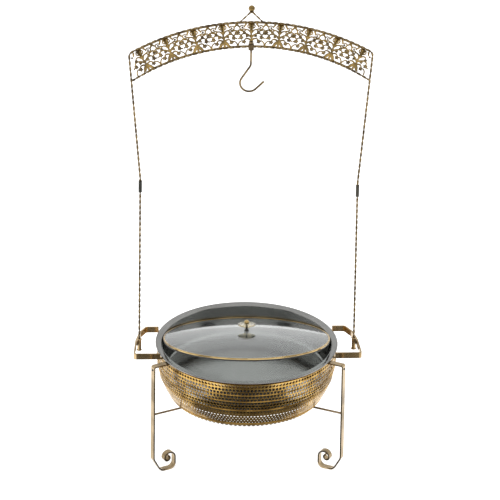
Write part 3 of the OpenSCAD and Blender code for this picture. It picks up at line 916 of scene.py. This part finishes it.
    def build(self) -> None:
        """Model the two stretches of lace, the ridges and the scalloped foot."""
        self.lace("basket_lace_upper", self.rows_upper, ["basket_shell", "basket_top_hoop"])
        self.lace("basket_lace_lower", self.rows_lower, [])
        trim = Shell()
        for s in self.ridges:
            r, z = self.wall(np.array(s), 0.0)
            trim.lathe(arc((float(r) - 0.1, float(z)), 1.0, 0, 315, 8), 256)
        trim.build("basket_ridges", "stand", Slot.BASKET_GOLD)
        self.foot()


# ---- hanger ------------------------------------------------------------------------------------


Stroke = tuple[list[tuple[float, float]], float, float]


@dataclass(frozen=True)
class Motif:
    """The right half of one filigree motif, as (across, outward from the lower arc).

    A stroke is its knots, its width at the start and its width at the end, and a spot is a blossom's
    middle and its radius.
    """

    blossom_t: float = 1.5
    spots: tuple[tuple[float, float, float], ...] = (
        (14.6, 8.6, 4.9),
        (19.8, 17.4, 4.9),
        (13.6, 27.8, 4.2),
        (17.0, 38.4, 2.6),
        (8.6, 21.0, 3.4),
        (24.8, 28.6, 3.8),
    )
    feet: tuple[Stroke, ...] = (
        ([(0.5, 9), (3.6, 6.5), (6.5, 3), (12, 0.6)], 4.4, 3.2),
        ([(0.5, 13), (4.4, 9.5), (7.4, 5.4), (8.6, 0.8)], 3.6, 5.0),
    )

    @property
    def branches(self) -> tuple[Stroke, ...]:
        """The branches and curls, one of which ends in a ring."""
        turn = np.linspace(-2.4, 2.6, 9)
        ring = [(17.5 + 4.4 * math.cos(a), 38.4 + 4.4 * math.sin(a)) for a in turn]
        return (
            ([(0.5, 11), (5.5, 14.5), (11, 14.6), (14.2, 11)], 4.2, 2.6),
            ([(0.5, 18), (6, 23), (12, 25.6), (17.6, 24.6), (19.4, 21)], 4.2, 2.6),
            ([(0.5, 27), (5, 32.5), (9.6, 33.6), (13, 31)], 3.8, 2.4),
            ([(9.5, 33.5), *ring], 3.4, 2.2),
            ([(9.6, 46.4), (12, 42.4), (13.2, 38.6)], 4.4, 2.2),
            ([(19.4, 21), (23.5, 25), (27.1, 24.2)], 3.0, 3.4),
            ([(21.6, 39.6), (25, 43), (27.1, 46.2)], 3.0, 5.0),
            ([(5.6, 19), (8.4, 19.6), (10.4, 17.8)], 2.4, 2.4),
            ([(2.0, 36), (6.2, 38.6), (6.4, 43), (3.4, 44.6)], 2.8, 2.2),
            ([(14.6, 8.6), (19.5, 10.5), (24.4, 7.0), (27.0, 0.6)], 2.6, 2.8),
            ([(19.4, 21), (22.8, 17), (26.4, 15.4)], 2.8, 3.0),
            ([(13.0, 31), (18.4, 31.6), (23.6, 33.6), (27.0, 31.0)], 2.8, 3.0),
        )


@dataclass(frozen=True)
class Hanger:
    """The rods, the two arcs, the filigree between them, the peak, the finial and the hook."""

    rod_x: float = 213.0
    rod_r: float = 2.25
    rod_foot: float = 225.0
    sleeve_mid: tuple[float, float] = (582.0, 570.0)
    bend_z: tuple[float, float] = (599.0, 587.0)
    bow_x: float = 236.5
    bow_z: float = 865.0
    fillet: float = 12.0
    arc_z: float = 473.0
    top_r: float = 458.0
    low_r: float = 406.0
    motifs: int = 9
    lace_start: float = 57.6
    turn: float = 24.0
    bar_step: float = 1.3
    knee_r: float = 30.0
    stub: float = 17.0
    peak_x: float = 22.0
    peak_z: float = 953.5
    finial_z: float = 959.4
    finial_r: float = 6.4
    hook_bowl: tuple[float, float] = (-2.7, 802.5)
    hook_r: float = 18.0
    hook_lead: float = 147.0
    hook_turn: float = 14.0
    hook_tip: float = 21.4
    hook_top: float = 890.2
    hook_shank: float = 869.0
    hook_wire: float = 2.0

    @property
    def section(self) -> np.ndarray:
        """Share of the radius round a flat bar with rounded edges: a superellipse of power four."""
        a = np.arange(16) * TAU / 16
        share = (np.abs(np.cos(a)) ** 4 + np.abs(np.sin(a) / 0.6) ** 4) ** -0.25
        return share / share.max()

    def twisted(self, shell: Shell, line: np.ndarray, radius: float = 0.0) -> None:
        """A twisted flat bar: its section turns evenly along the line.

        Args:
            shell: the mesh that takes the bar.
            line: points (x, z) of its centre line in the upright plane.
            radius: half the bar's width, the rods' own when 0.
        """
        path = resample(np.asarray(line, float), self.bar_step)
        shell.tube(
            flat_line(path),
            radius or self.rod_r,
            16,
            lobes=self.section,
            twist=np.arange(len(path)) * self.bar_step * TAU / self.turn,
        )

    def upper_rod(self, z0: float) -> tuple[np.ndarray, float]:
        """An upper rod on the right: its stub, a small bend, a straight run and the bow's corner.

        Args:
            z0: height of the small bend.

        Returns:
            Points (x, z) of the line and the angle at which it joins the top arc.
        """
        slope = math.atan2(self.bow_x - self.rod_x, self.bow_z - z0)
        d = np.array([math.sin(slope), math.cos(slope)])
        a = np.array([self.rod_x, z0 - self.arc_z]) + self.fillet * np.array([-d[1], d[0]])
        along = -(a @ d) + math.sqrt((a @ d) ** 2 - a @ a + (self.top_r - self.fillet) ** 2)
        mid = a + np.array([0.0, self.arc_z]) + d * along
        end = math.degrees(math.atan2(mid[1] - self.arc_z, mid[0]))
        foot, knee = (self.rod_x, z0 - self.stub), np.array([self.rod_x, z0])
        bend = rounded_corner(foot, knee, knee + 40 * d, self.knee_r, 4)
        corner = arc(mid, self.fillet, -math.degrees(slope), end, 12)
        return np.vstack([[foot], bend, corner]), end

    def between_rods(self, point: np.ndarray, room: float = 0.0) -> bool:
        """Whether a point lies between the upper rods.

        Args:
            point: the point (x, z).
            room: how far it must stay from the rods.

        Returns:
            True when it does.
        """
        x, z = point
        z0 = self.bend_z[1 if x > 0 else 0]
        slope = (self.bow_x - self.rod_x) / (self.bow_z - z0)
        return abs(x) < self.rod_x + (z - z0) * slope - self.rod_r - room

    def wires(self) -> None:
        """Model the twisted rods, the bow in one bent bar, the lower arc and the peak."""
        for side, name in ((-1, "left"), (1, "right")):
            rod = Shell()
            top = self.sleeve_mid[0 if side < 0 else 1]
            self.twisted(rod, np.array([[side * self.rod_x, self.rod_foot], [side * self.rod_x, top]]))
            rod.build(f"twisted_rod_{name}", "lower_rods", Slot.TWIST_GOLD, [f"lower_rod_{name}"])
        left, left_end = self.upper_rod(self.bend_z[0])
        right, right_end = self.upper_rod(self.bend_z[1])
        left = left * np.array([-1.0, 1.0])
        over = arc((0.0, self.arc_z), self.top_r, 180 - left_end, right_end, 90)[1:-1]
        bow = Shell()
        self.twisted(bow, np.vstack([left, over, right[::-1]]))
        bow.build(
            "bow_bar",
            "bow",
            Slot.TWIST_GOLD,
            ["rod_stubs", "upper_rod_left", "upper_rod_right", "top_arch_wire"],
        )
        low = Shell()
        for sign in (1.0, -1.0):
            fine = arc((0.0, self.arc_z), self.low_r, 50, 60, 400) * np.array([sign, 1.0])
            start = 50 + 10 * int(np.argmax([self.between_rods(point) for point in fine])) / 399
            line = arc((0.0, self.arc_z), self.low_r, start, 89.25, 60) * np.array([sign, 1.0])
            self.twisted(low, line)
        low.build("lower_arc_bar", "bow", Slot.TWIST_GOLD, ["lower_arch_wire"])
        peak = Shell()
        x, foot = self.peak_x, self.arc_z + math.sqrt(self.top_r**2 - self.peak_x**2)
        tip = rounded_corner((-x, foot), (0, self.peak_z), (x, foot), 3.0, 6)
        line = np.vstack([[[-x - 0.5, foot]], tip, [[x + 0.5, foot]]])
        self.twisted(peak, line, 1.75)
        peak.build("peak_bar", "bow", Slot.TWIST_GOLD, ["peak_wire"])

    def to_arch(self, points: np.ndarray, middle: float) -> np.ndarray:
        """Bend a flat motif round the arch.

        Args:
            points: points as (across, outward from the lower arc).
            middle: angle of the motif's middle, in radians.

        Returns:
            Points as (x, z).
        """
        r = self.low_r + self.rod_r + points[:, 1]
        a = middle - points[:, 0] / (0.5 * (self.low_r + self.top_r))
        return np.stack([r * np.cos(a), self.arc_z + r * np.sin(a)], -1)

    def stroke(
        self, shell: Shell, middle: float, knots: Sequence[Sequence[float]], wide: float, tip: float
    ) -> None:
        """A flat tapering stroke of the filigree, left out where it would cross an upper rod.

        Args:
            shell: the mesh that takes it.
            middle: angle of its motif's middle.
            knots: points that it passes through, in the flat motif.
            wide: its width at the start.
            tip: its width at the end.
        """
        line = self.to_arch(smooth_line(knots), middle)
        if not all(self.between_rods(point, 1.5) for point in line):
            return
        half = np.linspace(wide, tip, len(line)) / 2
        shell.tube(flat_line(line), half, 8, flat=np.linspace(0.5, 0.9, len(line)))

    def filigree(self) -> None:
        """Model the motifs, which the edge rails join.

        Each has a stem with curling branches and blossoms on both sides, and feet on the lower rail.
        """
        motif, vines, blossoms = Motif(), Shell(), Shell()
        step = math.radians(180 - 2 * self.lace_start) / self.motifs
        centers: list[np.ndarray] = []
        sizes: list[float] = []
        for i in range(self.motifs):
            middle = math.radians(self.lace_start) + step * (i + 0.5)
            central = i == self.motifs // 2
            stem = [(0, 9.5 if central else 0.0), (0.6, 14), (-0.4, 26), (0, 36)]
            self.stroke(vines, middle, stem, 4.4, 3.6)
            self.stroke(vines, middle, [(0, 31), (0, 39), (0, 46.5)], 4.6, 13.0)
            for side in (-1, 1):
                for knots, wide, tip in motif.branches + (() if central else motif.feet):
                    self.stroke(vines, middle, [(side * x, y) for x, y in knots], wide, tip)
                for x, y, size in motif.spots:
                    spot = self.to_arch(np.array([[side * x, y]]), middle)[0]
                    if self.between_rods(spot, size):
                        centers.append(spot)
                        sizes.append(size)
        wide = np.array([[1.0, 0, 0], [0, 0, 1.0], [0, 0, 0]])
        thick = np.array([[0, 0, 0], [0, 0, 0], [0, motif.blossom_t, 0]])
        axes = np.array(sizes)[:, None, None] * wide + thick
        blossoms.blobs(flat_line(np.array(centers)), axes, lobes=5, rows=6, cols=25)
        blossoms.build("filigree_blossoms", "bow", Slot.TWIST_GOLD)
        for r in (self.low_r + self.rod_r + 0.2, self.top_r - self.rod_r - 0.2):
            vines.tube(flat_line(arc((0.0, self.arc_z), r, 61.0, 119.0, 120)), 0.9, 8, flat=0.8)
        vines.build("filigree_vines", "bow", Slot.FILIGREE_GOLD, ["filigree_band"])

    def finial(self) -> None:
        """Model the finial: a collar, and a ball whose radius dips between six soft petals."""
        shell = Shell()
        around = 60
        up = np.linspace(0.0, math.pi, 24)[1:-1]
        angle = np.arange(around) * TAU / around
        dip = 0.1 * np.sin(up)[:, None] * (1 - np.abs(np.cos(3 * angle))[None, :])
        swell = self.finial_r * (1.0 - dip)
        ball = np.stack(
            [
                swell * np.sin(up)[:, None] * np.cos(angle),
                swell * np.sin(up)[:, None] * np.sin(angle),
                self.finial_z + swell * np.cos(up)[:, None],
            ],
            -1,
        ).reshape(-1, 3)
        top, under = self.finial_z + self.finial_r, self.finial_z - self.finial_r
        rows, ring = len(up), np.arange(around)
        shell.add(
            np.vstack([ball, [[0, 0, top], [0, 0, under]]]),
            grid_quads(rows, around),
            fan(rows * around, ring),
            fan(rows * around + 1, ring + (rows - 1) * around),
        )
        collar = [[0.0, 0.0], [4.2, 0.0], [4.6, 0.8], [4.2, 1.6], [3.1, 2.6], [0.0, 3.4]]
        shell.lathe(np.array(collar) + np.array([0.0, self.finial_z - 8.2]), 48)
        shell.build("finial_ball", "bow", Slot.FILIGREE_GOLD, ["finial"])

    def hook(self) -> None:
        """Model the hook in one bent wire: a shank, a straight lead, a bowl and a straight tip."""
        bowl, r, turn = np.array(self.hook_bowl), self.hook_r, self.hook_turn
        lead = math.radians(self.hook_lead)
        start = bowl + r * np.array([math.cos(lead), math.sin(lead)])
        way = np.array([math.sin(lead), -math.cos(lead)])
        bend_z = start[1] - start[0] * way[1] / way[0]
        angle = 90 - math.degrees(math.atan2(way[1], way[0]))
        cut = turn * math.tan(math.radians(angle / 2))
        slant = math.sqrt(0.5)
        tip = bowl + r * np.array([slant, -slant])
        run = self.hook_tip * np.array([slant, slant])
        line = np.vstack(
            [
                [[0.0, self.hook_top - drop] for drop in (0.0, 0.3, 1.0)],
                [[0.0, self.hook_shank]],
                arc((-turn, bend_z + cut), turn, 0, -angle, 8),
                arc(bowl, r, self.hook_lead, 315, 40),
                [tip + run * share for share in (0.5, 1.0, 1.025, 1.037)],
            ]
        )
        radius = np.full(len(line), self.hook_wire)
        radius[0], radius[1], radius[-1], radius[-2] = 1.2, 1.8, 0.9, 1.6
        shell = Shell()
        shell.tube(flat_line(line), radius, 20)
        shell.build("hook_wire", "hook", Slot.TWIST_GOLD, ["hook", "hook_stem"])

    def build(self) -> None:
        """Model the whole hanger."""
        self.wires()
        self.filigree()
        self.finial()
        self.hook()


@dataclass(frozen=True)
class Sockets:
    """Collars round both ends of the rods' sockets."""

    rod_x: float = 213.0
    foot_z: float = 223.0
    height: float = 26.0
    radius: float = 4.0

    def build(self) -> None:
        """Model a collar at each end of both sockets."""
        shell = Shell()
        for side in (-1, 1):
            def place(points: np.ndarray, side: int = side) -> np.ndarray:
                return points + np.array([side * self.rod_x, 0.0, 0.0])

            for z in (self.foot_z + 1.3, self.foot_z + self.height - 1.3):
                shell.lathe(arc((self.radius + 0.1, z), 1.1, 0, 330, 12), 40, place)
        shell.build("socket_collars", "stand", Slot.GOLD_STRIP)


# ---- CAD nodes that stay -----------------------------------------------------------------------


def dress_cad(frame: dict[str, Any]) -> None:
    """Give every CAD node its slot's material and break its sharp edges.
    """
    by_slot = {s.value.slot: s for s in Slot}
    slots = {p["node"]: p["material_slot"] for p in frame["record"]["subparts"]}
    for name, made in frame["nodes"].items():
        made.data.materials.clear()
        made.data.materials.append(MATERIALS[by_slot[slots[name]]])
        if made.hide_render:
            continue
        bevel = made.modifiers.new("edge", "BEVEL")
        bevel.width = EDGE_WIDTH * MM
        bevel.segments = EDGE_SEGMENTS
        bevel.limit_method = "ANGLE"
        bevel.angle_limit = math.radians(EDGE_ANGLE)
        bevel.use_clamp_overlap = True


# ---- studio ------------------------------------------------------------------------------------


@dataclass(frozen=True)
class Studio:
    """Camera, lights and floor."""

    distance: float = 11.0
    elevation: float = 25.7
    azimuth: float = -2.8
    roll: float = 0.9
    lens: float = 399.0
    aim: tuple[float, float, float] = (0.0, 0.0, 0.240)
    shift_right: float = -0.0068
    shift_up: float = -0.1837
    sensor: float = 36.0
    floor_half: float = 8.0
    floor_z: float = -0.0004

    def camera(self) -> None:
        """Place the camera: it looks at the pans from above, a little to one side.

        The shifts are the aim point's place in the picture as shares of its width, right and up of the
        middle, and the camera moves sideways by as much.
        """
        a, e, r = (math.radians(v) for v in (self.azimuth, self.elevation, self.roll))
        right = Vector((math.cos(a), math.sin(a), 0.0))
        back = Vector((math.sin(a) * math.cos(e), -math.cos(a) * math.cos(e), math.sin(e)))
        up = back.cross(right)
        right, up = right * math.cos(r) + up * math.sin(r), up * math.cos(r) - right * math.sin(r)
        width = self.sensor / self.lens * self.distance
        place = (
            Vector(self.aim)
            + back * self.distance
            - right * (self.shift_right * width)
            - up * (self.shift_up * width)
        )
        data = bpy.data.cameras.new("camera")
        data.lens, data.sensor_width = self.lens, self.sensor
        data.clip_start, data.clip_end = 0.5, 60.0
        camera = bpy.data.objects.new("camera", data)
        camera.matrix_world = Matrix.Translation(place) @ Matrix((right, up, back)).transposed().to_4x4()
        bpy.context.scene.collection.objects.link(camera)
        bpy.context.scene.camera = camera

    def light(self, name: str, place: Sequence[float], size: float, watts: float) -> None:
        """A square soft light that faces the object's middle and isn't seen in reflections.

        Args:
            name: the light's name.
            place: its middle, in metres.
            size: its side, in metres.
            watts: its power.
        """
        data = bpy.data.lights.new(name, "AREA")
        data.size, data.energy = size, watts
        made = bpy.data.objects.new(name, data)
        made.visible_glossy = made.visible_transmission = False
        made.location = place
        made.rotation_euler = (Vector((0, 0, 0.4)) - Vector(place)).to_track_quat("-Z", "Y").to_euler()
        bpy.context.scene.collection.objects.link(made)

    def card(
        self, name: str, place: Sequence[float], wide: float, high: float, shade: float, level: bool = False
    ) -> None:
        """A grey card that only reflections see.

        Args:
            name: the card's name.
            place: its middle, in metres.
            wide: its width, in metres.
            high: its height or, when level, its depth.
            shade: how bright it is.
            level: lies flat instead of facing the object's middle.
        """
        mesh = bpy.data.meshes.new(name)
        w, h = wide / 2, high / 2
        mesh.from_pydata([(-w, -h, 0), (w, -h, 0), (w, h, 0), (-w, h, 0)], [], [(0, 1, 2, 3)])
        graph = Graph(name)
        surface = graph.node("ShaderNodeBsdfDiffuse", {"Color": (shade, shade, shade, 1.0)})
        graph.node("ShaderNodeOutputMaterial", {"Surface": surface})
        mesh.materials.append(graph.material)
        made = bpy.data.objects.new(name, mesh)
        made.location = place
        if not level:
            made.rotation_euler = (Vector((0, 0, 0.4)) - Vector(place)).to_track_quat("Z", "Y").to_euler()
        made.visible_camera = made.visible_shadow = made.visible_diffuse = False
        made.visible_transmission = False
        bpy.context.scene.collection.objects.link(made)

    def surround(self) -> None:
        """Make the white world."""
        world = bpy.data.worlds.new("surround")
        world.use_nodes = True
        background = world.node_tree.nodes["Background"]
        background.inputs["Color"].default_value = (1.0, 1.0, 1.0, 1.0)
        background.inputs["Strength"].default_value = 1.0
        bpy.context.scene.world = world

    def floor(self) -> None:
        """Make the pale floor, a little below the feet."""
        half = self.floor_half
        mesh = bpy.data.meshes.new("floor")
        mesh.from_pydata(
            [(-half, -half, 0), (half, -half, 0), (half, half, 0), (-half, half, 0)], [], [(0, 1, 2, 3)]
        )
        graph = Graph("pale_floor")
        surface = graph.node(
            "ShaderNodeBsdfPrincipled",
            {
                "Base Color": (0.85, 0.85, 0.85, 1.0),
                "Roughness": 0.9,
                "Emission Color": (1.0, 1.0, 1.0, 1.0),
                "Emission Strength": 0.5,
            },
        )
        graph.node("ShaderNodeOutputMaterial", {"Surface": surface})
        mesh.materials.append(graph.material)
        floor = bpy.data.objects.new("floor", mesh)
        floor.location.z = self.floor_z
        bpy.context.scene.collection.objects.link(floor)

    def build(self) -> None:
        """Make the world, the floor, the lights, the cards and the camera."""
        bpy.context.scene.view_settings.view_transform = "Standard"
        self.surround()
        self.floor()
        self.light("key", (-1.6, -2.2, 2.6), 1.4, 55.0)
        self.light("fill", (2.2, -1.2, 1.6), 1.6, 25.0)
        self.card("card_left", (-1.5, -0.9, 0.45), 0.7, 1.6, 0.02)
        self.card("card_right", (1.5, -1.0, 0.45), 0.7, 1.6, 0.02)
        self.card("card_floor", (0.0, -0.92, 0.001), 0.56, 1.66, 0.13, level=True)
        self.card("card_back", (0.0, 2.2, 1.1), 2.6, 0.9, 0.55)
        self.camera()


def main() -> None:
    """Load the frame, model the pieces, dress the CAD nodes and light the scene."""
    logging.basicConfig(level=logging.INFO, format="%(name)s %(message)s")
    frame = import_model()
    MATERIALS.update({slot: slot.value.build() for slot in Slot})
    for part in (Pans(), Lid(), Basket(), Hanger(), Sockets()):
        part.build()
    dress_cad(frame)
    Studio().build()


if __name__ == "__main__":
    main()
